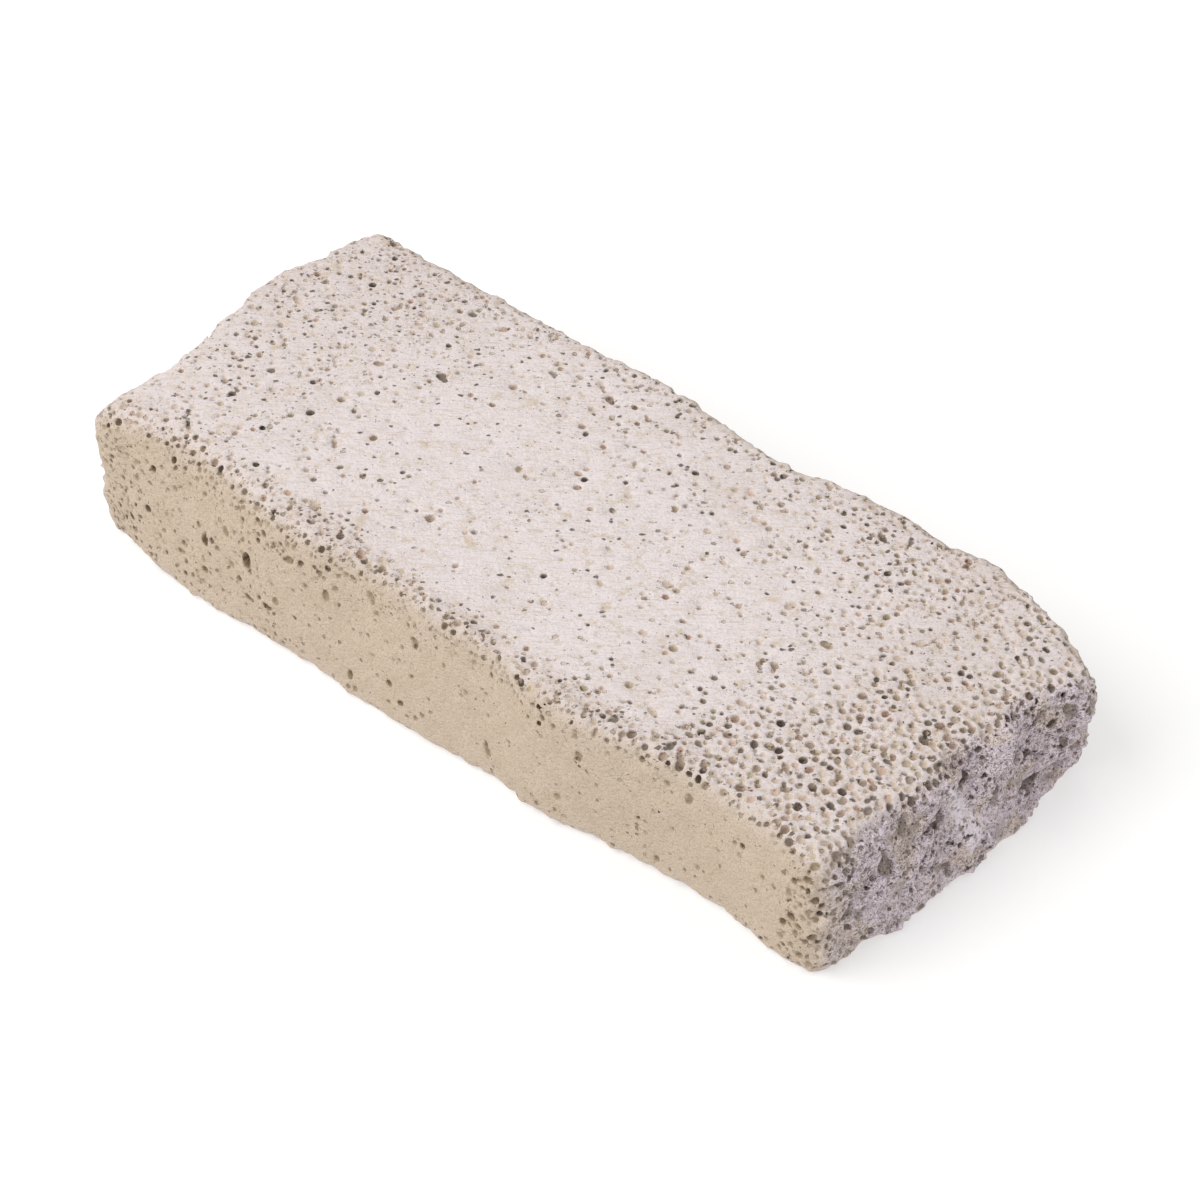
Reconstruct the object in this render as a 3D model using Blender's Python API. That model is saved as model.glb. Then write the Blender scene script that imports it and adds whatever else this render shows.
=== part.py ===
"""Pumice stone: a hand-sized bar of foamed volcanic rock, sawn flat and broken off at one end.

One closed solid. X runs along the bar, with the broken end at +X, Y across it and Z up from the
resting face. Sizes in the tables are millimetres and the finished mesh is in metres.
"""
import math
import random

import bmesh
import bpy
import numpy as np
from mathutils import Vector

MM = 0.001
ORIGIN = np.array((0.25, 0.64, 0.0))      # middle of the finished stone's foot, in the tables' terms

# ---- body -------------------------------------------------------------------------------------
TOP_MID = 16.6            # thickness in the middle of the bar
TOP_FALL = 0.029          # the top comes down this much for each millimetre towards +X
EDGE_RADIUS = 1.6         # wear along the top and bottom edges
CORNER_RADIUS = 1.6       # wear on the four upright corners
WORN_WEAR = 1.8           # how much rounder the edges are high up at the near corner of the worn end
BROKEN_WEAR = 1.2         # and at the near corner of the broken end
NEAR_BELLY = 0.35         # the long sides bulge this much at mid height
BACK_LEAN = 0.9           # the far long side stands out this much more at its foot
LEFT_LEAN = -1.3          # and the worn end this much less

# Outline of the body, as (place along the side, distance out) stations.
NEAR_TOP = [(-56, -22.4), (-49, -22.1), (-39.5, -20.9), (-18.5, -22.5), (-11, -21.3), (0, -22.0), (5, -21.6),
            (13, -23.0), (21, -23.1), (27.5, -21.7), (44, -21.7), (50, -22.5), (57, -22.4)]
NEAR_FOOT = [(-56, -21.6), (-50.5, -22.1), (-44, -23.7), (-36, -24.6), (-20, -24.0), (-12.5, -24.4),
             (-1, -24.3), (7, -23.8), (16, -24.3), (24.5, -23.1), (40, -22.6), (47, -23.4), (51, -22.9),
             (57, -22.3)]
BACK_TOP = [(-57, 22.5), (-36, 22.6), (-22, 22.9), (-7, 23.7), (1, 23.0), (9, 22.3), (12, 22.5), (15, 23.6),
            (20, 24.2), (27, 24.1), (31, 23.6), (35, 24.9), (40.5, 23.8), (45.5, 22.2), (51, 20.0),
            (57, 16.5)]
LEFT_TOP = [(-26, -54.4), (-19, -53.7), (-14, -52.7), (-9, -52.4), (0, -53.2), (7, -54.2), (12, -53.6),
            (18.5, -52.5), (25, -51.8)]
RIGHT_TOP = [(-26, 51.6), (-12, 50.8), (-5, 51.2), (0.5, 50.4), (5, 51.7), (9, 50.9), (14, 52.6),
             (17.5, 54.6), (25, 55.8)]
RIGHT_FOOT = [(-26, 51.8), (-20, 52.1), (-13, 53.7), (-3, 54.1), (2.5, 54.6), (8, 54.4), (12, 53.8),
              (15, 53.2), (18, 53.4), (23, 52.2)]

# Lumps and hollows of the broken end: (y, z, reach, height).
BREAK_LUMPS = [(-12.5, 6.5, 3.0, 0.8), (-6.0, 12.6, 2.6, 0.7), (-4.6, 7.6, 2.0, -0.8), (-1.0, 4.6, 2.6, 0.7),
               (0.2, 13.0, 2.2, -0.7), (3.4, 9.6, 2.4, 0.7), (7.4, 12.4, 2.4, 0.7), (10.4, 6.4, 2.4, -0.4),
               (9.6, 2.6, 2.2, -0.6), (14.6, 10.0, 3.0, 0.5), (18.5, 9.0, 3.4, 0.7), (-17.0, 11.5, 2.4, 0.5)]
# And of the worn end, in the same terms.
WORN_LUMPS = [(-15, 9.0, 3.6, 0.7), (-8, 12.0, 3.2, -0.6), (-2, 5.5, 4.0, 0.7), (5, 12.5, 3.4, 0.6),
              (8.5, 6.0, 3.0, -0.7), (15, 10.5, 4.0, 0.5), (18, 4.0, 3.0, -0.5)]

# Hollows worn into the top: (x, y, reach, height).
TOP_HOLLOWS = [(-54.5, -24.0, 5.5, -1.9), (-55.0, -13.5, 5.0, -0.8), (54.5, 21.0, 5.0, -0.5),
               (53.0, -21.5, 3.0, -0.4)]

# ---- pits -------------------------------------------------------------------------------------
# The pits that stand out on each face: (first place, second place, length, width, turn in degrees).
TOP_PITS = [
    (-22.5, -17.7, 1.6, 1.2, 155), (24.5, -17.0, 1.6, 0.9, 160), (22.5, -20.4, 1.3, 1.0, 135),
    (31.5, 2.5, 1.5, 0.8, 5), (-13.5, -20.0, 1.3, 0.9, 115), (48.0, -20.5, 1.2, 0.8, 120),
    (-11.0, 17.0, 1.2, 1.0, 135), (39.5, -14.0, 1.3, 0.8, 135), (49.0, 7.0, 1.2, 0.9, 60),
    (48.5, 15.0, 1.8, 0.7, 145), (10.5, 15.5, 1.4, 0.8, 150), (30.5, -10.0, 1.2, 0.8, 5),
    (29.5, -3.5, 1.2, 0.8, 155), (-28.0, 18.0, 1.2, 0.9, 40), (-42.0, -5.0, 1.2, 0.8, 30),
    (-34.0, 4.0, 1.2, 0.8, 25), (25.5, 19.5, 1.6, 0.7, 150), (-18.5, 16.0, 1.5, 0.7, 170)]
NEAR_PITS = [
    (-28.0, 9.7, 2.0, 1.2, 100), (20.5, 11.5, 2.8, 0.8, 95), (-16.0, 11.5, 1.6, 0.9, 110),
    (-10.5, 14.0, 1.4, 1.0, 150), (47.5, 9.5, 1.6, 0.8, 100), (-38.5, 5.5, 1.2, 0.8, 110),
    (-46.0, 13.0, 1.2, 0.8, 35), (-24.5, 5.5, 1.2, 0.8, 165), (33.5, 12.5, 1.2, 0.8, 70)]
BREAK_PITS = [
    (-4.8, 8.2, 3.4, 2.4, 35), (9.9, 3.2, 3.6, 1.9, 170), (-5.2, 3.6, 3.0, 1.2, 155),
    (10.6, 7.6, 3.2, 1.3, 150), (-0.6, 11.2, 2.7, 1.7, 0), (-13.6, 9.4, 3.4, 1.6, 90),
    (3.4, 7.0, 2.4, 1.5, 135), (15.2, 11.0, 2.6, 1.3, 120), (-10.2, 12.0, 2.0, 1.4, 100),
    (14.8, 6.4, 2.0, 1.2, 145), (-17.6, 5.6, 1.9, 1.2, 130)]
# Pits scattered over each face: how many, least and most length.
SCATTER = {"top": (64, 0.8, 1.3), "base": (48, 0.9, 1.8), "near": (30, 0.8, 1.3), "back": (28, 0.9, 1.8),
           "worn": (16, 1.0, 2.0), "break": (8, 1.0, 1.6)}
CROWD = {"top": 34.0, "near": -20.0}         # place along a face where its pits begin to crowd
CROWD_LEAST = 0.3                            # and how thick they stand before it
PIT_SEED = 41
PIT_GAP = 0.5             # least wall left between two pits
PIT_DEPTH = 0.75          # depth of a pit against its mean width
PIT_LIFT = {"break": 1.3, "worn": 0.8, "near": 0.5, "back": 0.5}     # how far a cutter stands out
EVEN_LIFT = 0.25          # and out of the two flat faces
CUP_LENGTH = 1.3          # pits at least this long have a floor, smaller ones come to a point
CUP_FLOOR = 0.45          # width of a pit's floor against its mouth
PIT_ROUGHNESS = 0.14      # how unevenly a pit's wall stands
PIT_SIDES = 6
REST_PATCH = 4.0          # radius left whole about the middle of the resting face

# ---- mesh -------------------------------------------------------------------------------------
HALF_SIZE = np.array((54.6, 24.4, 9.1))      # half of the block that the body is drawn from
CORE_INSET = 6.0                             # the mesh is drawn out from a core this far inside
EDGE_STATIONS = (0.9, 1.8, 3.6, 6.2)         # rows of mesh near each edge, by distance from it
STATION_STEP = (5.2, 5.2, 3.4)               # and the spacing of the rows between them


def curve(stations, place):
    """Distance out at each place, on a smooth line through the stations."""
    at, out = np.array(stations, float).T
    slope = np.gradient(out, at)
    first = np.clip(np.searchsorted(at, place) - 1, 0, len(at) - 2)
    width = at[first + 1] - at[first]
    t = np.clip((place - at[first]) / width, 0.0, 1.0)
    return ((1 + 2 * t) * (1 - t) ** 2 * out[first] + t * (1 - t) ** 2 * width * slope[first]
            + t * t * (3 - 2 * t) * out[first + 1] + t * t * (t - 1) * width * slope[first + 1])


def relief(lumps, a, b):
    """Height of the lumps and hollows of a face at the places (a, b)."""
    return sum(height * np.exp(-((a - a0) ** 2 + (b - b0) ** 2) / reach ** 2)
               for a0, b0, reach, height in lumps)


def rounded_join(a, b, radius):
    """Greater of two distances, rounded where they meet."""
    a, b = a + radius, b + radius
    return np.minimum(np.maximum(a, b), 0) + np.hypot(np.maximum(a, 0), np.maximum(b, 0)) - radius


def sides(p):
    """Where the left, right, near, back and top sides stand beside the points p."""
    x, y, z = p[..., 0], p[..., 1], p[..., 2]
    top = TOP_MID - TOP_FALL * x + relief(TOP_HOLLOWS, x, y)
    rise = np.clip(z / TOP_MID, 0.0, 1.0)
    belly = NEAR_BELLY * 4 * rise * (1 - rise)
    near = curve(NEAR_FOOT, x) * (1 - rise) + curve(NEAR_TOP, x) * rise - belly
    back = curve(BACK_TOP, x) + BACK_LEAN * (1 - rise) + belly
    left = curve(LEFT_TOP, y) - LEFT_LEAN * (1 - rise) - relief(WORN_LUMPS, y, z)
    right = curve(RIGHT_FOOT, y) * (1 - rise) + curve(RIGHT_TOP, y) * rise + relief(BREAK_LUMPS, y, z)
    return left, right, near, back, top


def form(p):
    """Distance of the points p outside the body, in millimetres: less than 0 inside it."""
    left, right, near, back, top = sides(p)
    x, y, z = p[..., 0], p[..., 1], p[..., 2]
    wear = (WORN_WEAR * np.clip((-12 - x) / 30, 0, 1) + BROKEN_WEAR * np.clip((x - 38) / 12, 0, 1)
            ) * np.clip(-y / 20, 0, 1) * np.clip(z / 10, 0, 1)
    plan = rounded_join(np.maximum(x - right, left - x), np.maximum(y - back, near - y),
                        CORNER_RADIUS + wear / 2)
    return rounded_join(plan, np.maximum(z - top, -z), EDGE_RADIUS + wear)


def spread(block):
    """Points of the block, which runs -1 to 1 each way, spread to the body's sides, edges still sharp."""
    share = (block + 1) / 2
    p = block * HALF_SIZE
    for _ in range(5):
        left, right, near, back, top = sides(p)
        p = np.stack((left + (right - left) * share[:, 0], near + (back - near) * share[:, 1],
                      top * share[:, 2]), axis=1)
    return p


def surface(core, toward):
    """Points of the surface on the way from each core point to the one beyond it."""
    low, high = np.zeros(len(core)), np.full(len(core), 1.5)
    for _ in range(34):
        middle = (low + high) / 2
        outside = form(core + (toward - core) * middle[:, None]) > 0
        high = np.where(outside, middle, high)
        low = np.where(outside, low, middle)
    return core + (toward - core) * ((low + high) / 2)[:, None]


def stations(half, step):
    """Cuts across one axis of the block: close rows near both edges, even rows between."""
    last = half - EDGE_STATIONS[-1]
    count = max(1, round(2 * last / step))
    between = [last - 2 * last * k / count for k in range(count + 1)]
    edges = [half - d for d in EDGE_STATIONS[:-1]]
    return edges + between + [-e for e in edges]


def make_body(name, collection):
    """Block cut into rows and drawn out to the form."""
    bm = bmesh.new()
    bmesh.ops.create_cube(bm, size=2.0)
    for axis in range(3):
        normal = Vector((0, 0, 0))
        normal[axis] = 1.0
        for at in stations(HALF_SIZE[axis], STATION_STEP[axis]):
            bmesh.ops.bisect_plane(bm, geom=bm.verts[:] + bm.edges[:] + bm.faces[:],
                                   plane_co=normal * (at / HALF_SIZE[axis]), plane_no=normal)
    block = np.array([v.co[:] for v in bm.verts])
    inner = 1 - CORE_INSET / HALF_SIZE
    points = surface(spread(np.clip(block, -inner, inner)), spread(block))
    for vert, point in zip(bm.verts, points):
        vert.co = (point - ORIGIN) * MM
    bmesh.ops.triangulate(bm, faces=bm.faces[:])
    bmesh.ops.recalc_face_normals(bm, faces=bm.faces[:])
    mesh = bpy.data.meshes.new(name)
    bm.to_mesh(mesh)
    bm.free()
    body = bpy.data.objects.new(name, mesh)
    collection.objects.link(body)
    return body


FACES = {   # for each face: axes of its two places, axis and way it looks, and its half lengths
    "top": (0, 1, 2, 1, (50.0, 20.5)), "base": (0, 1, 2, -1, (50.0, 20.0)),
    "near": (0, 2, 1, -1, (48.0, 5.6)), "back": (0, 2, 1, 1, (47.0, 5.6)),
    "worn": (1, 2, 0, -1, (18.0, 5.4)), "break": (1, 2, 0, 1, (17.0, 5.2))}


def on_face(face, first, second):
    """Point of the surface under a place on a face, and the way out of the surface there."""
    a, b, out, way, _ = FACES[face]
    core = np.array((0.0, 0.0, TOP_MID / 2))
    core[a], core[b] = first, second
    toward = core.copy()
    toward[out] += way * HALF_SIZE[out]
    point = surface(core[None], toward[None])[0]
    step = 0.05 * np.eye(3)
    normal = np.array([form(point + step[k]) - form(point - step[k]) for k in range(3)])
    return point, normal / np.linalg.norm(normal)


def crowding(face, along):
    """How thick the pits stand at a place along a face, 1 at most."""
    if face not in CROWD:
        return 1.0
    start = CROWD[face]
    beyond = (along - start) * math.copysign(1.0, start) / 12.0
    return CROWD_LEAST + (1 - CROWD_LEAST) / (1 + math.exp(-2 * beyond))


def all_pits():
    """Every pit as (point, way out, length, width, turn), hand placed ones first."""
    rng = random.Random(PIT_SEED)
    pits = []

    def add(face, first, second, length, width, turn):
        point, normal = on_face(face, first, second)
        if face == "base" and math.hypot(first, second) < REST_PATCH:
            return False
        if any(np.linalg.norm(point - other[0]) < (length + other[2]) / 2 + PIT_GAP for other in pits):
            return False
        pits.append((point, normal, length, width, turn, face))
        return True

    for face, listed in (("top", TOP_PITS), ("near", NEAR_PITS), ("break", BREAK_PITS)):
        for pit in listed:
            add(face, *pit)
    for face, (count, least, most) in SCATTER.items():
        half_a, half_b = FACES[face][4]
        middle_b = 0.0 if face in ("top", "base") else TOP_MID / 2
        placed = tries = 0
        while placed < count and tries < 40 * count:
            tries += 1
            first = rng.uniform(-half_a, half_a)
            second = middle_b + rng.uniform(-half_b, half_b)
            if rng.random() > crowding(face, first):
                continue
            length = least + (most - least) * rng.random() ** 2
            placed += add(face, first, second, length, length * rng.uniform(0.55, 0.95), rng.uniform(0, 180))
    return pits


def add_pit_cutter(bm, rng, point, normal, length, width, turn, face):
    """Uneven cup, wide at the mouth, standing in the surface."""
    depth = PIT_DEPTH * (length + width) / 2
    lift = PIT_LIFT.get(face, EVEN_LIFT)
    floor = CUP_FLOOR if length >= CUP_LENGTH else 0.0
    mouth = 1.0 + (1.0 - floor) * lift / depth
    cup = bmesh.ops.create_cone(bm, segments=PIT_SIDES, radius1=floor, radius2=mouth,
                                depth=depth + lift, cap_ends=True)
    along = Vector((0, 0, 0))
    along[FACES[face][0]] = 1.0
    normal = Vector(normal)
    along = (along - normal * along.dot(normal)).normalized()
    across = normal.cross(along) * (1 if normal.cross(along)[FACES[face][1]] > 0 else -1)
    angle = math.radians(turn)
    long_way = along * math.cos(angle) + across * math.sin(angle)
    wide_way = normal.cross(long_way)
    for vert in cup["verts"]:
        stretch = 1.0 + rng.uniform(-PIT_ROUGHNESS, PIT_ROUGHNESS)
        u, v = vert.co.x * length / 2 * stretch, vert.co.y * width / 2 * stretch
        w = vert.co.z - (depth - lift) / 2
        vert.co = (Vector(point - ORIGIN) + long_way * u + wide_way * v + normal * w) * MM
    return cup["verts"]


def make_pit_cutters(name, collection):
    """All the pits' cups as one cutter."""
    rng = random.Random(PIT_SEED + 1)
    bm = bmesh.new()
    for pit in all_pits():
        add_pit_cutter(bm, rng, *pit)
    bmesh.ops.triangulate(bm, faces=bm.faces[:])
    bmesh.ops.recalc_face_normals(bm, faces=bm.faces[:])
    mesh = bpy.data.meshes.new(name)
    bm.to_mesh(mesh)
    bm.free()
    cutter = bpy.data.objects.new(name, mesh)
    cutter.hide_render = True
    cutter.display_type = "WIRE"
    collection.objects.link(cutter)
    return cutter


def stone_material():
    """Warm pale grey rock, dull all over."""
    material = bpy.data.materials.new("pumice")
    material.use_nodes = True
    shader = material.node_tree.nodes["Principled BSDF"]
    shader.inputs["Base Color"].default_value = (0.66, 0.58, 0.53, 1.0)
    shader.inputs["Roughness"].default_value = 0.95
    return material


def main():
    for old in list(bpy.data.objects):
        bpy.data.objects.remove(old, do_unlink=True)
    parts = bpy.data.collections.new("pumice_stone")
    cutters = bpy.data.collections.new("cutters")
    for collection in (parts, cutters):
        bpy.context.scene.collection.children.link(collection)
    body = make_body("pumice_stone", parts)
    body.data.materials.append(stone_material())
    pits = body.modifiers.new("pits", "BOOLEAN")
    pits.operation = "DIFFERENCE"
    pits.solver = "EXACT"
    pits.object = make_pit_cutters("pit_cutters", cutters)


main()
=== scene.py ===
"""Looks of the pumice stone: the rock with all its pits and broken foam, its material, light and camera.

X runs along the bar towards the broken end, Y across it and Z up. The rock is worked out in
millimetres as a field of distances on a fine grid, from the same named values as the CAD solid,
and drawn as one mesh in metres.
"""
import math
import random

import bmesh
import bpy
import numpy as np
from mathutils import Matrix, Vector
from mathutils.kdtree import KDTree


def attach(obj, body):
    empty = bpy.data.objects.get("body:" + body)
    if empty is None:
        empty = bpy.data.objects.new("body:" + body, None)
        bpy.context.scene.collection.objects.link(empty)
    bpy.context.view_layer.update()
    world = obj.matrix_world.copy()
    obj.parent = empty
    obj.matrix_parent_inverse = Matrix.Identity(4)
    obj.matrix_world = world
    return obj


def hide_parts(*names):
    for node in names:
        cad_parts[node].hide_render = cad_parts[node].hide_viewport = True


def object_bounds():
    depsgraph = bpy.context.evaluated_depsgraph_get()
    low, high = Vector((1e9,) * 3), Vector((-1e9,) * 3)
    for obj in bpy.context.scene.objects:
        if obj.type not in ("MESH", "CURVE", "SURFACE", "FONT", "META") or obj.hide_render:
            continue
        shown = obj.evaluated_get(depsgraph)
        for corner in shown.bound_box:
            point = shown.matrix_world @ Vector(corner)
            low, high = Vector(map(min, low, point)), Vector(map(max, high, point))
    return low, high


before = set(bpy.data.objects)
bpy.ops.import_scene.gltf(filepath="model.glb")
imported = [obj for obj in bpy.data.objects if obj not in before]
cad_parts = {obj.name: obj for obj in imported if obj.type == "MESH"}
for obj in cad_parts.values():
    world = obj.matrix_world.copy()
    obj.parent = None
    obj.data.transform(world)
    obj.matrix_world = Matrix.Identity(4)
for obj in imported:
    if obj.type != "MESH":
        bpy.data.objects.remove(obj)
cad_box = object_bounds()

NODE = "pumice_stone"
MM = 0.001
ORIGIN = np.array((0.25, 0.64, 0.0))      # middle of the stone's foot, in the tables' terms
BOX_LOW, BOX_HIGH = (np.array(corner) / MM + ORIGIN for corner in cad_box)
TOP_MID = 16.6            # thickness in the middle of the bar
TOP_FALL = 0.029          # the top comes down this much for each millimetre towards +X
EDGE_RADIUS = 1.6         # wear along the top and bottom edges
CORNER_RADIUS = 1.6       # wear on the four upright corners
WORN_WEAR = 1.8           # how much rounder the edges are high up at the near corner of the worn end
BROKEN_WEAR = 1.2         # and at the near corner of the broken end
NEAR_BELLY = 0.35         # the long sides bulge this much at mid height
BACK_LEAN = 0.9           # the far long side stands out this much more at its foot
LEFT_LEAN = -1.3          # and the worn end this much less

# Outline of the body, as (place along the side, distance out) stations.
NEAR_TOP = [(-56, -22.4), (-49, -22.1), (-39.5, -20.9), (-18.5, -22.5), (-11, -21.3), (0, -22.0),
            (5, -21.6), (13, -23.0), (21, -23.1), (27.5, -21.7), (44, -21.7), (50, -22.5), (57, -22.4)]
NEAR_FOOT = [(-56, -21.6), (-50.5, -22.1), (-44, -23.7), (-36, -24.6), (-20, -24.0), (-12.5, -24.4),
             (-1, -24.3), (7, -23.8), (16, -24.3), (24.5, -23.1), (40, -22.6), (47, -23.4), (51, -22.9),
             (57, -22.3)]
BACK_TOP = [(-57, 22.5), (-36, 22.6), (-22, 22.9), (-7, 23.7), (1, 23.0), (9, 22.3), (12, 22.5), (15, 23.6),
            (20, 24.2), (27, 24.1), (31, 23.6), (35, 24.9), (40.5, 23.8), (45.5, 22.2), (51, 20.0),
            (57, 16.5)]
LEFT_TOP = [(-26, -54.4), (-19, -53.7), (-14, -52.7), (-9, -52.4), (0, -53.2), (7, -54.2), (12, -53.6),
            (18.5, -52.5), (25, -51.8)]
RIGHT_TOP = [(-26, 51.6), (-12, 50.8), (-5, 51.2), (0.5, 50.4), (5, 51.7), (9, 50.9), (14, 52.6),
             (17.5, 54.6), (25, 55.8)]
RIGHT_FOOT = [(-26, 51.8), (-20, 52.1), (-13, 53.7), (-3, 54.1), (2.5, 54.6), (8, 54.4), (12, 53.8),
              (15, 53.2), (18, 53.4), (23, 52.2)]

# Lumps and hollows of the broken end: (y, z, reach, height).
BREAK_LUMPS = [(-12.5, 6.5, 3.0, 0.8), (-6.0, 12.6, 2.6, 0.7), (-4.6, 7.6, 2.0, -0.8),
               (-1.0, 4.6, 2.6, 0.7), (0.2, 13.0, 2.2, -0.7), (3.4, 9.6, 2.4, 0.7), (7.4, 12.4, 2.4, 0.7),
               (10.4, 6.4, 2.4, -0.4), (9.6, 2.6, 2.2, -0.6), (14.6, 10.0, 3.0, 0.5),
               (18.5, 9.0, 3.4, 0.7), (-17.0, 11.5, 2.4, 0.5)]
# And of the worn end, in the same terms.
WORN_LUMPS = [(-15, 9.0, 3.6, 0.7), (-8, 12.0, 3.2, -0.6), (-2, 5.5, 4.0, 0.7), (5, 12.5, 3.4, 0.6),
              (8.5, 6.0, 3.0, -0.7), (15, 10.5, 4.0, 0.5), (18, 4.0, 3.0, -0.5)]
# Hollows worn into the top: (x, y, reach, height).
TOP_HOLLOWS = [(-54.5, -24.0, 5.5, -1.9), (-55.0, -13.5, 5.0, -0.8), (54.5, 21.0, 5.0, -0.5),
               (53.0, -21.5, 3.0, -0.4)]

# The pits that stand out on each face: (first place, second place, length, width, turn in degrees).
TOP_PITS = [
    (-22.5, -17.7, 1.6, 1.2, 155), (24.5, -17.0, 1.6, 0.9, 160), (22.5, -20.4, 1.3, 1.0, 135),
    (31.5, 2.5, 1.5, 0.8, 5), (-13.5, -20.0, 1.3, 0.9, 115), (48.0, -20.5, 1.2, 0.8, 120),
    (-11.0, 17.0, 1.2, 1.0, 135), (39.5, -14.0, 1.3, 0.8, 135), (49.0, 7.0, 1.2, 0.9, 60),
    (48.5, 15.0, 1.8, 0.7, 145), (10.5, 15.5, 1.4, 0.8, 150), (30.5, -10.0, 1.2, 0.8, 5),
    (29.5, -3.5, 1.2, 0.8, 155), (-28.0, 18.0, 1.2, 0.9, 40), (-42.0, -5.0, 1.2, 0.8, 30),
    (-34.0, 4.0, 1.2, 0.8, 25), (25.5, 19.5, 1.6, 0.7, 150), (-18.5, 16.0, 1.5, 0.7, 170)]
NEAR_PITS = [
    (-28.0, 9.7, 2.0, 1.2, 100), (20.5, 11.5, 2.8, 0.8, 95), (-16.0, 11.5, 1.6, 0.9, 110),
    (-10.5, 14.0, 1.4, 1.0, 150), (47.5, 9.5, 1.6, 0.8, 100), (-38.5, 5.5, 1.2, 0.8, 110),
    (-46.0, 13.0, 1.2, 0.8, 35), (-24.5, 5.5, 1.2, 0.8, 165), (33.5, 12.5, 1.2, 0.8, 70)]
BREAK_PITS = [
    (-4.8, 8.2, 3.4, 2.4, 35), (9.9, 3.2, 3.6, 1.9, 170), (-5.2, 3.6, 3.0, 1.2, 155),
    (10.6, 7.6, 3.2, 1.3, 150), (-0.6, 11.2, 2.7, 1.7, 0), (-13.6, 9.4, 3.4, 1.6, 90),
    (3.4, 7.0, 2.4, 1.5, 135), (15.2, 11.0, 2.6, 1.3, 120), (-10.2, 12.0, 2.0, 1.4, 100),
    (14.8, 6.4, 2.0, 1.2, 145), (-17.6, 5.6, 1.9, 1.2, 130)]
# Larger pits scattered over each face: how many, least and most length.
SCATTER = {"top": (64, 0.8, 1.3), "base": (48, 0.9, 1.8), "near": (30, 0.8, 1.3), "back": (28, 0.9, 1.8),
           "worn": (16, 1.0, 2.0), "break": (8, 1.0, 1.6)}
CROWD = {"top": 34.0, "near": -20.0}         # place along a face where its pits begin to crowd
CROWD_LEAST = 0.3                            # and how thick they stand before it
PIT_SEED = 41
PIT_GAP = 0.5             # least wall left between two of the larger pits
REST_PATCH = 4.0          # radius left whole about the middle of the resting face

# For each face: axes of its two places, axis and way it looks, and its half lengths for larger pits.
FACES = {
    "top": (0, 1, 2, 1, (50.0, 20.5)), "base": (0, 1, 2, -1, (50.0, 20.0)),
    "near": (0, 2, 1, -1, (48.0, 5.6)), "back": (0, 2, 1, 1, (47.0, 5.6)),
    "worn": (1, 2, 0, -1, (18.0, 5.4)), "break": (1, 2, 0, 1, (17.0, 5.2))}

# ---- the rock as a field ------------------------------------------------------------------------
CELL = 0.17           # grid spacing
GRID_LOW = (-56.0, -26.0, -0.6)
GRID_HIGH = (57.0, 27.0, 19.4)
SEED = 7
FAR_OUT = 60.0            # beyond the rock on every side
HALVINGS = 26             # steps of the search for a point of the surface
NUDGE = 0.05              # step over which the way out of the surface is measured
FOLD_STEEPNESS = 1.6      # noise with creases is made this much steeper
FOLD_MIDDLE = 0.9         # and brought down to stand about 0


def curve(stations, place):
    """Distance out at each place, on a smooth line through the stations."""
    at, out = np.array(stations, float).T
    slope = np.gradient(out, at)
    first = np.clip(np.searchsorted(at, place) - 1, 0, len(at) - 2)
    width = at[first + 1] - at[first]
    t = np.clip((place - at[first]) / width, 0.0, 1.0)
    return ((1 + 2 * t) * (1 - t) ** 2 * out[first] + t * (1 - t) ** 2 * width * slope[first]
            + t * t * (3 - 2 * t) * out[first + 1] + t * t * (t - 1) * width * slope[first + 1])


def relief(lumps, a, b):
    """Height of the lumps and hollows of a face at the places (a, b)."""
    return sum(height * np.exp(-((a - a0) ** 2 + (b - b0) ** 2) / reach ** 2)
               for a0, b0, reach, height in lumps)


def rounded_join(a, b, radius):
    """Greater of two distances, rounded where they meet."""
    a, b = a + radius, b + radius
    return np.minimum(np.maximum(a, b), 0) + np.hypot(np.maximum(a, 0), np.maximum(b, 0)) - radius


def sides(x, y, z):
    """Where the left, right, near, back and top sides stand beside the places x, y, z."""
    top = TOP_MID - TOP_FALL * x + relief(TOP_HOLLOWS, x, y)
    rise = np.clip(z / TOP_MID, 0.0, 1.0)
    belly = NEAR_BELLY * 4 * rise * (1 - rise)
    near = curve(NEAR_FOOT, x) * (1 - rise) + curve(NEAR_TOP, x) * rise - belly
    back = curve(BACK_TOP, x) + BACK_LEAN * (1 - rise) + belly
    left = curve(LEFT_TOP, y) - LEFT_LEAN * (1 - rise) - relief(WORN_LUMPS, y, z)
    right = curve(RIGHT_FOOT, y) * (1 - rise) + curve(RIGHT_TOP, y) * rise + relief(BREAK_LUMPS, y, z)
    return left, right, near, back, top


def form(x, y, z):
    """Distance outside the plain body, less than 0 inside it."""
    left, right, near, back, top = sides(x, y, z)
    worn_share = WORN_WEAR * np.clip((-12 - x) / 30, 0, 1)
    broken_share = BROKEN_WEAR * np.clip((x - 38) / 12, 0, 1)
    wear = (worn_share + broken_share) * np.clip(-y / 20, 0, 1) * np.clip(z / 10, 0, 1)
    plan = rounded_join(np.maximum(x - right, left - x), np.maximum(y - back, near - y),
                        CORNER_RADIUS + wear / 2)
    return rounded_join(plan, np.maximum(z - top, -z), EDGE_RADIUS + wear)


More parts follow.
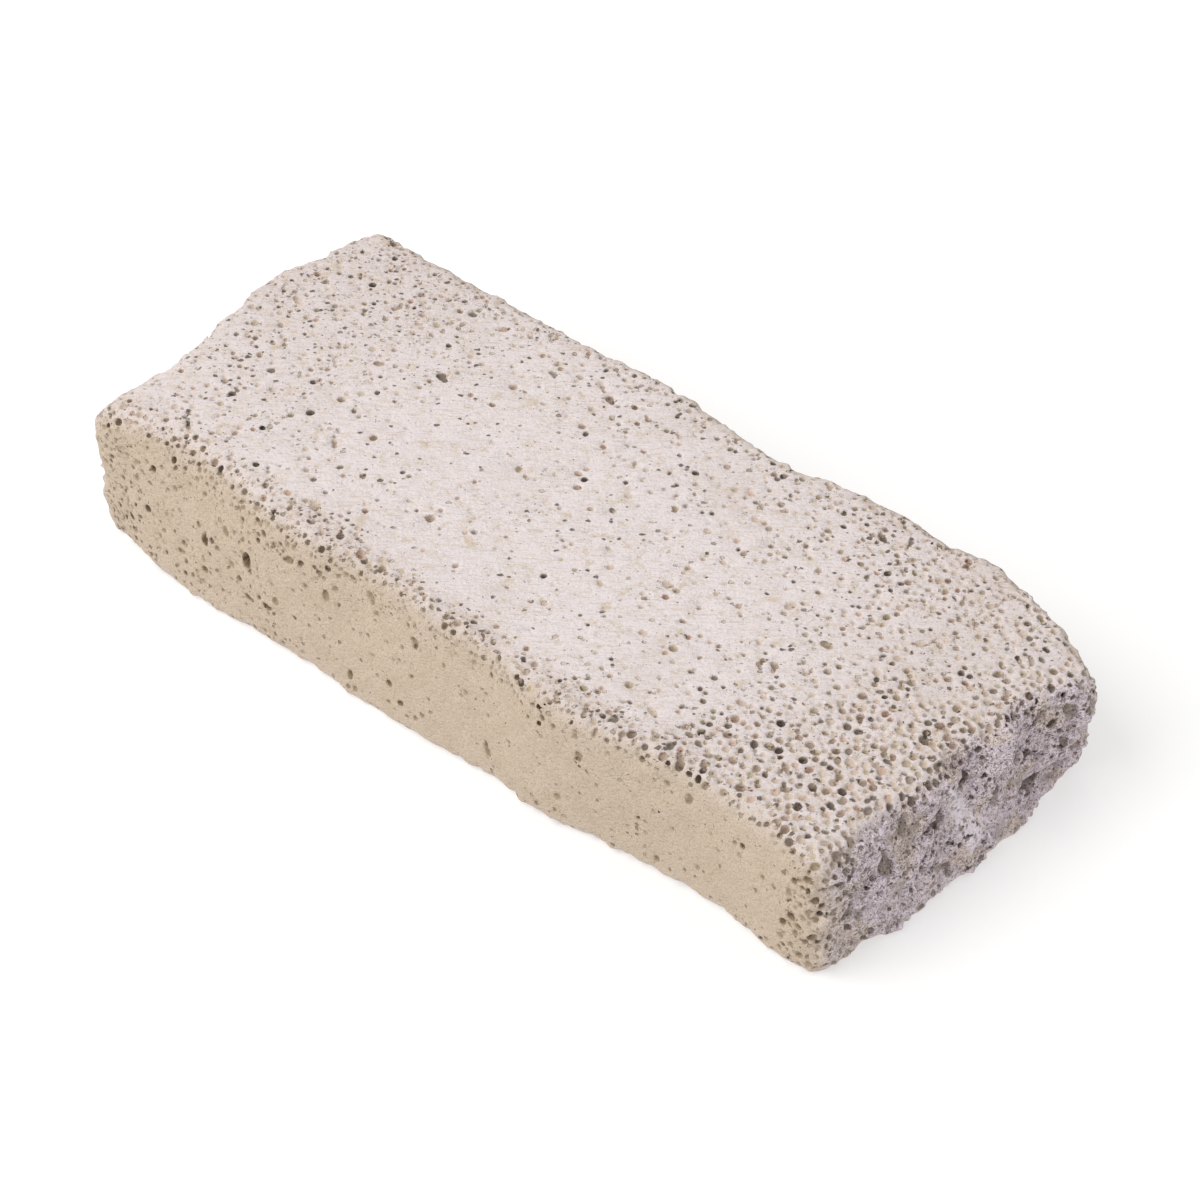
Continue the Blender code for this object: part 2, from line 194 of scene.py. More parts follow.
def on_faces(face, first, second):
    """Points of the plain surface under places on a face, and the ways out of it there."""
    a, b, out, way, _ = FACES[face]
    low = np.zeros((len(first), 3))
    low[:, 2] = TOP_MID / 2
    low[:, a], low[:, b] = first, second
    high = low.copy()
    high[:, out] += way * FAR_OUT
    for _ in range(HALVINGS):
        middle = (low + high) / 2
        outside = (form(*middle.T) > 0)[:, None]
        high = np.where(outside, middle, high)
        low = np.where(outside, low, middle)
    steps = NUDGE * np.eye(3)
    normal = np.stack([form(*(low + step).T) - form(*(low - step).T) for step in steps], axis=1)
    return low, normal / np.linalg.norm(normal, axis=1, keepdims=True)


def crowding(face, along):
    """How thick the larger pits stand at a place along a face, 1 at most."""
    if face not in CROWD:
        return 1.0
    start = CROWD[face]
    beyond = (along - start) * math.copysign(1.0, start) / 12.0
    return CROWD_LEAST + (1 - CROWD_LEAST) / (1 + math.exp(-2 * beyond))


def larger_pits():
    """The pits that the CAD solid has too, as (point, way out, length, width, turn, face)."""
    rng = random.Random(PIT_SEED)
    pits = []

    def add(face, first, second, length, width, turn):
        """Adds a pit, unless it touches another or the middle of the resting face."""
        points, normals = on_faces(face, [first], [second])
        if face == "base" and math.hypot(first, second) < REST_PATCH:
            return False
        if any(np.linalg.norm(points[0] - other[0]) < (length + other[2]) / 2 + PIT_GAP
               for other in pits):
            return False
        pits.append((points[0], normals[0], length, width, turn, face))
        return True

    for face, listed in (("top", TOP_PITS), ("near", NEAR_PITS), ("break", BREAK_PITS)):
        for pit in listed:
            add(face, *pit)
    for face, (count, least, most) in SCATTER.items():
        half_a, half_b = FACES[face][4]
        middle_b = 0.0 if face in ("top", "base") else TOP_MID / 2
        placed = tries = 0
        while placed < count and tries < 40 * count:
            tries += 1
            first = rng.uniform(-half_a, half_a)
            second = middle_b + rng.uniform(-half_b, half_b)
            if rng.random() > crowding(face, first):
                continue
            length = least + (most - least) * rng.random() ** 2
            width = length * rng.uniform(0.55, 0.95)
            placed += add(face, first, second, length, width, rng.uniform(0, 180))
    return pits


def bump(value, start, end):
    """0 before start, 1 after end, smooth between."""
    t = np.clip((value - start) / (end - start), 0.0, 1.0)
    return t * t * (3 - 2 * t)


def pit_density(face, a, b):
    """Finer pits to the square millimetre, at places on a face."""
    if face in ("top", "base"):
        way = 1 if face == "top" else -1
        a, b = a * way, b * way
        middle = 0.08 + 0.34 * bump(-a, 20, 50)
        back_half = 0.55 * bump(b, 5, 21) * (0.6 + 0.4 * bump(a, -10, 20))
        back_edge = back_half + 0.5 * bump(b, 18.5, 22)
        near_edge = 1.8 * bump(-b, 16.0 + 2.4 * bump(a, -20, 0), 20.5)
        broken = 0.40 * bump(a, 16, 34) + 0.60 * bump(a, 32, 47)
        corner = 4.6 * bump(a - 0.7 * b, 36, 54)
        return middle + back_edge + near_edge + broken + corner
    if face in ("near", "back"):
        way = 1 if face == "near" else -1
        worn = 0.42 * bump(-a * way, 10, 42) + 0.7 * bump(-a * way, 42, 51)
        rim = 1.1 * bump(b, 12.0 + 1.5 * bump(a * way, -10, 10), 15.2)
        return 0.035 + worn + rim + 2.4 * bump(a * way, 45.5, 50.5)
    if face == "break":
        return 0.8 + 2.2 * np.maximum(bump(b, 8, 13), bump(-a, 10, 19))
    return np.full(np.shape(a), 0.9)


def cup_growth(face, a, b):
    """How much larger the finer pits are towards the near corner of the broken end."""
    if face == "top":
        return 1 + 0.22 * bump(a - 0.7 * b, 34, 50)
    if face == "near":
        return 1 + 0.25 * bump(a, 44, 50)
    return 1 + 0.2 * bump(-a, 12, 20) if face == "break" else 1.0


# Finer pits of each face: least, usual and most length.
SMALL_PITS = {"top": (0.42, 0.60, 0.92), "base": (0.42, 0.62, 1.0), "near": (0.40, 0.56, 0.9),
              "back": (0.40, 0.56, 0.9), "worn": (0.42, 0.62, 1.0), "break": (0.42, 0.56, 0.85)}
FACE_SIZE = {"top": (112.0, 50.0), "base": (112.0, 50.0), "near": (112.0, 19.0), "back": (112.0, 19.0),
             "worn": (50.0, 19.0), "break": (50.0, 19.0)}
FOOT_START = -0.3         # upright sides are measured from just under the foot
TRIES = 9.0               # places tried to the square millimetre
SPARE = 1.6               # pits drawn for each one wanted, since many fall on others and are dropped
SMALL_GAP = 0.03          # least wall left between two of them
PIT_BOX = 2.0             # side of the boxes that the pits are sorted into; pits further apart never touch
FACING = 0.66             # a pit is dropped where the rock looks further away from its face than this
LEAN = 131                # pits of the top are mostly drawn out this way, in degrees from +X
LEAN_SPREAD = 35


def small_pits(taken):
    """Thousands of finer pits, thick or thin by place, each clear of those already taken."""
    rng = np.random.default_rng(SEED)
    boxes = {}
    around = [np.array(corner) - 1 for corner in np.ndindex(3, 3, 3)]

    def box_of(point):
        """Box that a point falls in, so that only pits of the boxes around it are compared with it."""
        return np.floor(point / PIT_BOX).astype(int)

    for point, _, length, width, _, _ in taken:
        boxes.setdefault(tuple(box_of(point)), []).append((point, (length + width) / 4))
    pits = []
    for face, (least, usual, most) in SMALL_PITS.items():
        span_a, span_b = FACE_SIZE[face]
        count = int(span_a * span_b * TRIES)
        a = rng.uniform(-span_a / 2, span_a / 2, count)
        b = rng.uniform(-span_b / 2, span_b / 2, count)
        if face not in ("top", "base"):
            b += span_b / 2 + FOOT_START
        keep = rng.random(count) < pit_density(face, a, b) / TRIES * SPARE
        a, b = a[keep], b[keep]
        points, normals = on_faces(face, a, b)
        out, way = FACES[face][2:4]
        facing = normals[:, out] * way > FACING
        length = np.minimum(least + rng.gamma(2.2, (usual - least) / 2.2, len(a)), most)
        length *= cup_growth(face, a, b)
        width = length * rng.uniform(0.68, 1.0, len(a))
        turn = LEAN + rng.normal(0, LEAN_SPREAD, len(a)) if face == "top" else rng.uniform(0, 180, len(a))
        for k in sorted(np.flatnonzero(facing), key=lambda index: -length[index]):
            radius = (length[k] + width[k]) / 4
            box = box_of(points[k])
            close = [other for step in around for other in boxes.get(tuple(box + step), ())]
            if any(np.sum((points[k] - p) ** 2) < (radius + r + SMALL_GAP) ** 2 for p, r in close):
                continue
            boxes.setdefault(tuple(box), []).append((points[k], radius))
            pits.append((points[k], normals[k], length[k], width[k], turn[k], face))
    return pits


def along_axis(k):
    """Shape that lays a row of values along axis k of a grid."""
    return [-1 if j == k else 1 for j in range(3)]


class Field:
    """Distances to the rock's surface on a grid: less than 0 inside the rock."""

    def __init__(self):
        self.axes = [np.arange(low, high, CELL, dtype=np.float32)
                     for low, high in zip(GRID_LOW, GRID_HIGH)]
        x, y, z = self.axes
        self.values = form(x[:, None, None], y[None, :, None], z[None, None, :]).astype(np.float32)

    def window(self, low, high):
        """Slices of the grid that hold the box from low to high."""
        return tuple(slice(max(0, int((lo - g) / CELL)), max(1, int((hi - g) / CELL) + 2))
                     for lo, hi, g in zip(low, high, GRID_LOW))

    def trim(self):
        """Cuts off whatever stands outside the CAD solid's box, so that the rock rests flat at z = 0."""
        for k, (axis, low, high) in enumerate(zip(self.axes, BOX_LOW, BOX_HIGH)):
            beyond = np.maximum(low - axis, axis - high)
            np.maximum(self.values, beyond.reshape(along_axis(k)), out=self.values)

    def carve(self, centre, axes, radii, blend):
        """Takes an ellipsoid out of the rock and rounds its rim over."""
        reach = float(max(radii)) + 2 * blend
        where = self.window(centre - reach, centre + reach)
        x, y, z = (axis[part] - c for axis, part, c in zip(self.axes, where, centre))
        if not (len(x) and len(y) and len(z)):
            return
        squares = slopes = 0.0
        for axis, radius in zip(axes, radii):
            along = x[:, None, None] * axis[0] + y[None, :, None] * axis[1] + z[None, None, :] * axis[2]
            squares = squares + (along / radius) ** 2
            slopes = slopes + (along / radius ** 2) ** 2
        size = np.sqrt(squares)
        hole = -size * (size - 1) / np.sqrt(slopes + 1e-9)
        rock = self.values[where]
        overlap = np.maximum(blend - np.abs(rock - hole), 0) / blend
        self.values[where] = np.maximum(rock, hole) + overlap * overlap * blend / 4

    def sample(self, values, points):
        """Values at points anywhere in the grid."""
        at = (points - GRID_LOW) / CELL
        first = np.clip(np.floor(at).astype(int), 0, np.array(values.shape) - 2)
        part = at - first
        total = 0.0
        for corner in np.ndindex(2, 2, 2):
            share = np.prod(np.where(corner, part, 1 - part), axis=1)
            total = total + share * values[tuple((first + corner).T)]
        return total

    def carve_all(self, pits, rng):
        """Takes every bubble of the pits out of the rock."""
        for pit in pits:
            for centre, axes, radii in bubbles(pit, rng):
                self.carve(centre, axes, radii, RIM[pit[5]])

    def add_noise(self, values, span, size, height, draw, mask, folded=False):
        """Raises and lowers a surface by noise of a given grain size, smooth or with creases, on a span
        along X and as much as the mask lets it."""
        where = self.window((span[0], *GRID_LOW[1:]), (span[1], *GRID_HIGH[1:]))
        rng = np.random.default_rng(SEED + draw)
        parts = [axis[part] for axis, part in zip(self.axes, where)]
        size = np.broadcast_to(size, 3)
        counts = [int((part[-1] - part[0]) / s) + 3 for part, s in zip(parts, size)]
        noise = rng.standard_normal(counts).astype(np.float32)
        for k, (part, s) in enumerate(zip(parts, size)):
            at = (part - part[0]) / s
            first = at.astype(int)
            t = (at - first).astype(np.float32)
            t = t * t * (3 - 2 * t)
            t = t.reshape(along_axis(k))
            noise = np.take(noise, first, k) * (1 - t) + np.take(noise, first + 1, k) * t
        if folded:
            noise = FOLD_STEEPNESS * np.abs(noise) - FOLD_MIDDLE
        noise = noise * mask(*np.ix_(*parts)).astype(np.float32)
        values[where] -= height * noise


# How the pits of each face are cut: share of deep ones, least and most depth of the others against their
# width, and how far their rims are rounded over.
DEEP_SHARE = {"top": 0.35, "base": 0.35, "near": 0.15, "back": 0.15, "worn": 0.35, "break": 0.35}
SHALLOW = {"top": (0.28, 0.55), "base": (0.28, 0.55), "near": (0.22, 0.45), "back": (0.22, 0.45),
           "worn": (0.3, 0.6), "break": (0.3, 0.6)}
RIM = {"top": 0.05, "base": 0.05, "near": 0.12, "back": 0.12, "worn": 0.1, "break": 0.05}
BREAK_CUP = 1.2           # pits of the broken end longer than this are never deep
CLUSTER = 1.15            # and pits longer than this have small bubbles that open off them
TILT = 0.35               # how far a pit may lean over


def bubbles(pit, rng):
    """Ellipsoids that make up one pit: a main one and, in larger pits, some that open off it."""
    point, normal, length, width, turn, face = pit
    along = np.zeros(3)
    along[FACES[face][0]] = 1.0
    along -= normal * along.dot(normal)
    along /= np.linalg.norm(along)
    across = np.cross(normal, along)
    if across[FACES[face][1]] < 0:
        across = -across
    angle = math.radians(turn)
    long_way = along * math.cos(angle) + across * math.sin(angle)
    wide_way = np.cross(normal, long_way)
    deep = rng.random() < DEEP_SHARE[face] and not (face == "break" and length > BREAK_CUP)
    depth = width * (rng.uniform(0.7, 1.1) if deep else rng.uniform(*SHALLOW[face]))
    sink = rng.uniform(0.15, 0.45) if deep else rng.uniform(-0.1, 0.2)
    mouth = math.sqrt(1 - sink ** 2)
    tilt = normal + TILT * (long_way * rng.uniform(-1, 1) + wide_way * rng.uniform(-1, 1))
    tilt /= np.linalg.norm(tilt)
    u = np.cross(wide_way, tilt)
    u /= np.linalg.norm(u)
    v = np.cross(tilt, u)
    axes = (u, v, tilt)
    yield point - normal * sink * depth, axes, np.array((length / 2 / mouth, width / 2 / mouth, depth))
    if length <= CLUSTER:
        return
    for _ in range(int(rng.integers(1, 4))):
        way = rng.uniform(0, 2 * math.pi)
        out = rng.uniform(0.35, 0.62)
        small = width * rng.uniform(0.22, 0.36)
        place = (point + long_way * math.cos(way) * length * out + wide_way * math.sin(way) * width * out
                 - normal * width * rng.uniform(0.05, 0.4))
        yield place, axes, np.array((small, small * rng.uniform(0.7, 1), small))


def broken(x, y, z):
    """1 on the broken end, 0 away from it and at the resting face."""
    _, right, _, _, top = sides(x, y, z)
    return bump(x - right, -2.6, -0.6) * bump(top - z, -0.2, 1.2) * bump(z, 0.0, 1.0)


SMEAR = (-2.6, 12.0, -0.4, 4.4)              # ends of the pale smear on the broken end: (y, z, y, z)


def smeared(y, z):
    """1 on the pale smear that runs down the broken end, 0 away from it."""
    y0, z0, y1, z1 = SMEAR
    run = (y - y0) * (y1 - y0) + (z - z0) * (z1 - z0)
    along = np.clip(run / ((y1 - y0) ** 2 + (z1 - z0) ** 2), 0, 1)
    away = np.hypot(y - y0 - along * (y1 - y0), z - z0 - along * (z1 - z0))
    return 1 - bump(away, 0.2 + 0.6 * along, 1.0 + 1.2 * along)


def foamy(x, y, z):
    """As broken, less on the smear."""
    return broken(x, y, z) * (1 - 0.6 * smeared(y, z))


def worn(x, y, z):
    """1 on the worn end, 0 away from it and at the resting face."""
    left, _, _, _, top = sides(x, y, z)
    return bump(left - x, -2.6, -0.6) * bump(top - z, -0.2, 1.2) * bump(z, 0.0, 1.0)


def unsawn(x, y, z):
    """1 on the four rough sides and their edges, less on the sawn top and foot."""
    left, right, near, back, _ = sides(x, y, z)
    out = np.maximum(np.maximum(x - right, left - x), np.maximum(y - back, near - y))
    return 0.25 + 0.75 * bump(out, -2.5, -0.4)


def crowded(x, y, z):
    """As much as the pits crowd a place of the top, 0 on the other sides."""
    top = sides(x, y, z)[-1]
    return np.clip(pit_density("top", x, y) - 0.15, 0, 1) * bump(z - top, -2.0, -0.6)


def rims(x, y, z):
    """1 along the edges where two sides meet, 0 away from them and at the resting face."""
    left, right, near, back, top = sides(x, y, z)
    level = bump(z - top, -2.2, -0.4)
    along_x, along_y = np.maximum(x - right, left - x), np.maximum(y - back, near - y)
    round_plan = bump(np.maximum(along_x, along_y), -2.2, -0.4)
    upright = bump(along_x, -2.2, -0.4) * bump(along_y, -2.2, -0.4)
    foot = bump(-z, -2.4, -1.2) * bump(z, 0.0, 0.8)
    return np.maximum(np.maximum(level, foot) * round_plan, upright * bump(z, 0.0, 0.8))


WHOLE_BAR = (GRID_LOW[0], GRID_HIGH[0])
BROKEN_SPAN = (44.0, GRID_HIGH[0])
WORN_SPAN = (GRID_LOW[0], -46.0)
# Unevenness of the rock, as (span along X, grain size, height, number of its draw, where it is).
UNEVENNESS = (
    (WHOLE_BAR, 5.0, 0.10, 1, unsawn),
    (WHOLE_BAR, 2.0, 0.09, 2, unsawn),
    (WHOLE_BAR, 0.9, 0.04, 3, unsawn),
    (WHOLE_BAR, 1.3, 0.12, 11, rims),
    (WHOLE_BAR, 0.6, 0.07, 12, rims),
    (WHOLE_BAR, 1.1, 0.07, 13, crowded),
    (WHOLE_BAR, 0.6, 0.06, 14, crowded),
    (BROKEN_SPAN, (2.2, 3.4, 3.0), 0.42, 4, broken),
    (WORN_SPAN, (2.2, 2.4, 2.4), 0.22, 7, worn))
# Foam that runs through the larger pits too, in the same terms and with whether it has creases.
FOAM_LAYERS = (
    (BROKEN_SPAN, (1.5, 1.9, 1.3), 0.27, 5, foamy, True),
    (BROKEN_SPAN, (0.7, 0.8, 0.6), 0.14, 6, foamy, True),
    (BROKEN_SPAN, (0.4, 0.45, 0.35), 0.08, 9, foamy, False),
    (WORN_SPAN, (1.0, 0.9, 0.9), 0.12, 8, worn, False))


def carved_rock():
    """The rock with every pit, distances to its skin as it would be without them, and the pits."""
    rock = Field()
    for layer in UNEVENNESS:
        rock.add_noise(rock.values, *layer)
    rng = np.random.default_rng(SEED + 10)
    skin = rock.values.copy()
    large = larger_pits()
    small = small_pits(large)
    rock.carve_all(large, rng)
    for values in (rock.values, skin):
        for layer in FOAM_LAYERS:
            rock.add_noise(values, *layer)
    rock.carve_all(small, rng)
    rock.trim()
    return rock, skin, large + small


def surface_net(rock):
    """Points and four-sided faces of the surface where the field changes sign."""
    field = rock.values
    inside = field < 0
    shape = np.array(field.shape)
    strides = np.array((shape[1] * shape[2], shape[2], 1))
    points, cells, quads = [], [], []
    for axis in range(3):
        here = [slice(None)] * 3
        there = [slice(None)] * 3
        here[axis] = slice(None, -1)
        there[axis] = slice(1, None)
        crossing = np.argwhere(inside[tuple(here)] != inside[tuple(there)])
        ahead = crossing.copy()
        ahead[:, axis] += 1
        a, b = field[tuple(crossing.T)], field[tuple(ahead.T)]
        point = crossing.astype(np.float32)
        point[:, axis] += a / (a - b)
        u, v = (axis + 1) % 3, (axis + 2) % 3
        ring = np.array((0, -strides[u], -strides[u] - strides[v], -strides[v]))
        around = (crossing @ strides)[:, None] + ring
        around[a > 0] = around[a > 0][:, ::-1]
        points.append(np.repeat(point, 4, axis=0))
        cells.append(around.ravel())
        quads.append(around)
    cells = np.concatenate(cells)
    points = np.concatenate(points)
    names, index = np.unique(cells, return_inverse=True)
    total = np.bincount(index)
    verts = np.stack([np.bincount(index, points[:, k]) / total for k in range(3)], axis=1)
    quads = np.searchsorted(names, np.concatenate(quads))
    return verts * CELL + np.array(GRID_LOW), quads


def mesh_from(name, verts, quads):
    """Blender mesh of triangles from arrays of points and of four-sided faces."""
    triangles = np.concatenate([quads[:, [0, 1, 2]], quads[:, [0, 2, 3]]])
    mesh = bpy.data.meshes.new(name)
    mesh.vertices.add(len(verts))
    mesh.vertices.foreach_set("co", verts.astype(np.float32).ravel())
    mesh.loops.add(triangles.size)
    mesh.loops.foreach_set("vertex_index", triangles.astype(np.int32).ravel())
    mesh.polygons.add(len(triangles))
    mesh.polygons.foreach_set("loop_start", np.arange(0, triangles.size, 3, dtype=np.int32))
    mesh.update(calc_edges=True)
    return mesh


def add_values(mesh, name, values):
    """Stores one number for each point of the mesh."""
    mesh.attributes.new(name, "FLOAT", "POINT").data.foreach_set("value", np.asarray(values, np.float32))


def side_at(points):
    """Number of the side that each place lies nearest: top, near, broken, foot, back or worn."""
    x, y, z = points.T
    left, right, near, back, top = sides(x, y, z)
    return np.argmax(np.stack([z - top, near - y, x - right, -z, y - back, left - x]), axis=0)


def points_of(mesh):
    """Places of the mesh's points."""
    points = np.empty(len(mesh.vertices) * 3, dtype=np.float32)
    mesh.vertices.foreach_get("co", points)
    return points.reshape(-1, 3).astype(float)


def corners_of(mesh):
    """Points of each triangle."""
    corners = np.empty(len(mesh.loops), dtype=np.int32)
    mesh.loops.foreach_get("vertex_index", corners)
    return corners.reshape(-1, 3)


# Triangles kept on the top, the near side, the broken end, and on all the others together.
PART_FACES = (84000, 22000, 44000, 50000)
MOST_FACES = 198000       # and on the whole stone, once the seams between the parts are thinned too


def thinned_once(mesh, ratio, own=None):
    """The mesh with a share of its triangles left, thinned only at its own points where they are given."""
    holder = bpy.data.objects.new("thinning", mesh)
    bpy.context.scene.collection.objects.link(holder)
    thin = holder.modifiers.new("thin", "DECIMATE")
    thin.ratio = min(1.0, ratio)
    if own is not None:
        group = holder.vertex_groups.new(name="own")
        group.add(np.flatnonzero(own).tolist(), 1.0, "REPLACE")
        thin.vertex_group = group.name
    evaluated = holder.evaluated_get(bpy.context.evaluated_depsgraph_get())
    result = bpy.data.meshes.new_from_object(evaluated)
    bpy.data.objects.remove(holder)
    bpy.data.meshes.remove(mesh)
    return result


def thinned(mesh):
    """The mesh with each part brought down to its share of triangles, then the whole."""
    for part, most in enumerate(PART_FACES):
        own = np.minimum(side_at(points_of(mesh)), len(PART_FACES) - 1) == part
        in_part = int(own[corners_of(mesh)].all(axis=1).sum())
        mesh = thinned_once(mesh, 1 - (in_part - most) / len(mesh.polygons), own)
    return thinned_once(mesh, MOST_FACES / len(mesh.polygons))


def drop_crumbs(mesh):
    """Takes away what the carving has cut off from the rock."""
    edges = np.empty(len(mesh.edges) * 2, dtype=np.int32)
    mesh.edges.foreach_get("vertices", edges)
    start, end = edges.reshape(-1, 2).T
    part, before = np.arange(len(mesh.vertices)), None
    while before is None or (part != before).any():
        before = part.copy()
        least = np.minimum(part[start], part[end])
        np.minimum.at(part, start, least)
        np.minimum.at(part, end, least)
        part = part[part]
    largest = np.bincount(part).argmax()
    shape = bmesh.new()
    shape.from_mesh(mesh)
    crumbs = [point for point, own in zip(shape.verts, part) if own != largest]
    bmesh.ops.delete(shape, geom=crumbs, context="VERTS")
    shape.to_mesh(mesh)
    shape.free()


# Where each side lies in the square that its colours are baked into, as side_at counts the sides:
# (axis across, axis up, start across, start up), in millimetres.
CHARTS = ((0, 1, 0.5, 0.5), (0, 2, 0.5, 103.0), (2, 1, 111.0, 0.5),
          (0, 1, 0.5, 51.8), (0, 2, 0.5, 122.0), (2, 1, 111.0, 51.8))
CHART_SPAN = 142.0
RIM_ANGLE = 75            # edges of the mesh that turn more than this stay sharp


def lay_out(mesh, points):
    """Gives the mesh a flat layout, one chart for each side of the stone, to bake its colours into."""
    corners = corners_of(mesh)
    across, up, start_across, start_up = np.array(CHARTS)[side_at(points[corners].mean(axis=1))].T
    beyond = points[corners] - BOX_LOW
    rows = np.arange(len(corners))[:, None]
    order = np.arange(3)[None, :]
    flat = np.stack([beyond[rows, order, across.astype(int)[:, None]] + start_across[:, None],
                     beyond[rows, order, up.astype(int)[:, None]] + start_up[:, None]], axis=2)
    mesh.uv_layers.new(name="OFBake").data.foreach_set("uv", (flat / CHART_SPAN).astype(np.float32).ravel())


def make_stone():
    """The rock as one mesh, with what its material needs to know at each point."""
    rock, skin, pits = carved_rock()
    mesh = thinned(mesh_from("full_rock", *surface_net(rock)))
    drop_crumbs(mesh)
    mesh.name = "pumice_rock"
    mesh.polygons.foreach_set("use_smooth", np.ones(len(mesh.polygons), dtype=bool))
    points = points_of(mesh)
    mark_points(mesh, points, rock, skin, pits)
    lay_out(mesh, points)
    placed = np.clip((points - ORIGIN) * MM, cad_box[0], cad_box[1])
    mesh.vertices.foreach_set("co", placed.astype(np.float32).ravel())
    mesh.update()
    mesh.set_sharp_from_angle(angle=math.radians(RIM_ANGLE))
    stone = bpy.data.objects.new("pumice_rock", mesh)
    bpy.context.scene.collection.objects.link(stone)
    return stone


SIDE_BLEND = 0.55         # how softly the colours of two sides run into each other
BROKEN_LEAST = 0.25       # share of the broken end's colour at its dusty near corner
WORN_SHARE = 0.45         # and all over the worn end
BROKEN_CROWD = 1.4        # how thick fine pores stand on the broken end


def mark_points(mesh, points, rock, skin, pits):
    """Notes on each point its side of the stone, how far it lies in a pit and inside the plain body, how
    fine pores crowd it and levels drawn at random for its pit."""
    x, y, z = points.T
    left, right, near, back, top = sides(x, y, z)
    outward = {"sawn": np.maximum(z - top, -z), "dusty": np.maximum(near - y, y - back),
               "broken": np.maximum(x - right, left - x)}
    weight = {name: np.exp(np.clip(value / SIDE_BLEND, -30, 3)) for name, value in outward.items()}
    total = sum(weight.values())
    kept = np.where(x > 0, BROKEN_LEAST + (1 - BROKEN_LEAST) * bump(y, -23.0, -17.5), WORN_SHARE)
    weight["dusty"] = weight["dusty"] + weight["broken"] * (1 - kept)
    weight["broken"] = weight["broken"] * kept
    for name in ("dusty", "broken"):
        add_values(mesh, name, weight[name] / total)
    add_values(mesh, "smear", np.where(x > 0, smeared(y, z), 0.0) * weight["broken"] / total)
    add_values(mesh, "depth", np.clip(-rock.sample(skin, points), 0, None))
    # How far a point lies inside the plain body, for painted shade in the recesses of the ends.
    add_values(mesh, "recess_shade", np.clip(0.5 - form(x, y, z) / 2, 0, 1))
    far_corner = bump(-x, 20, 44) * (0.4 + 0.6 * bump(y, -14, 12))
    near_rim = bump(-y, 17.5, 20.5)
    crowd = {"sawn": np.clip(0.8 * pit_density("top", x, y), 0, 1) + far_corner + 0.7 * near_rim,
             "dusty": np.clip(pit_density("near", x, z), 0, 1),
             "broken": BROKEN_CROWD}
    add_values(mesh, "crowd", sum(weight[name] * crowd[name] for name in weight) / total)
    tree = KDTree(len(pits))
    for index, pit in enumerate(pits):
        tree.insert(pit[0], index)
    tree.balance()
    rng = np.random.default_rng(SEED + 20)
    shades = rng.random((len(pits), 2))
    nearest = np.array([tree.find(point)[1] for point in points])
    add_values(mesh, "shade", shades[nearest, 0])
    add_values(mesh, "tint", shades[nearest, 1])


# ---- material -----------------------------------------------------------------------------------
SAWN_COLOUR = (0.775, 0.705, 0.705, 1.0)
SAWN_WARM = (0.62, 0.53, 0.50, 1.0)
SAWN_TAN = (0.62, 0.51, 0.38, 1.0)
DUSTY_COLOUR = (0.55, 0.458, 0.362, 1.0)
DUSTY_DARK = (0.48, 0.385, 0.29, 1.0)
BROKEN_COLOUR = (1.0, 0.87, 0.95, 1.0)
BROKEN_WARM = (0.92, 0.77, 0.70, 1.0)
# Painted shade: dark grey put in the recesses, foam hollows and pits of the ends.
BROKEN_SHADE = (0.19, 0.145, 0.15, 1.0)
SMEAR_COLOUR = (0.88, 0.81, 0.88, 1.0)
CUP_COLOUR = (0.63, 0.51, 0.41, 1.0)
CUP_RUST = (0.62, 0.44, 0.34, 1.0)
CUP_OLIVE = (0.57, 0.47, 0.34, 1.0)
CUP_DUSTY = (0.34, 0.255, 0.17, 1.0)
# Painted shade: near black, put in the deep pits and in the fine pores, specks and vents.
DEEP_SHADE = (0.10, 0.07, 0.045, 1.0)
GRAIN_TURN = 41.4         # the fibres of the rock run this way across the top, in degrees
FIBRE_STRETCH = 6.0       # and are this much longer than wide
PORE_STRETCH = 1.25       # as the pores are, less so
PORE_WOBBLE = 0.0004      # how far their outlines stray, in metres
FOAM_SQUASH = (1.0, 0.6, 1.0)
RELIEF_DEPTH = 0.0002     # height of the finest relief, in metres

# Noises: (lumps to the metre, number of finer levels, how strong those are).
BROAD = (90.0, 1, 0.5)
WARM_PATCHES = (230.0, 2, 0.5)
GRAINY_PATCHES = (330.0, 2, 0.5)
MEDIUM = (420.0, 2, 0.5)
TAN_PATCHES = (800.0, 2, 0.5)
FINE = (2600.0, 2, 0.75)
WOBBLE = (2600.0, 1, 0.5)
FIBRES = (3300.0, 2, 0.7)
FOAM = (5000.0, 2, 0.85)
SANDY = (5200.0, 1, 0.6)
# Round pores: (cells to the metre, radius of the largest against its cell).
PORES = (1500.0, 0.44)
SPECKS = (3100.0, 0.44)
VENTS = (2700.0, 0.46)


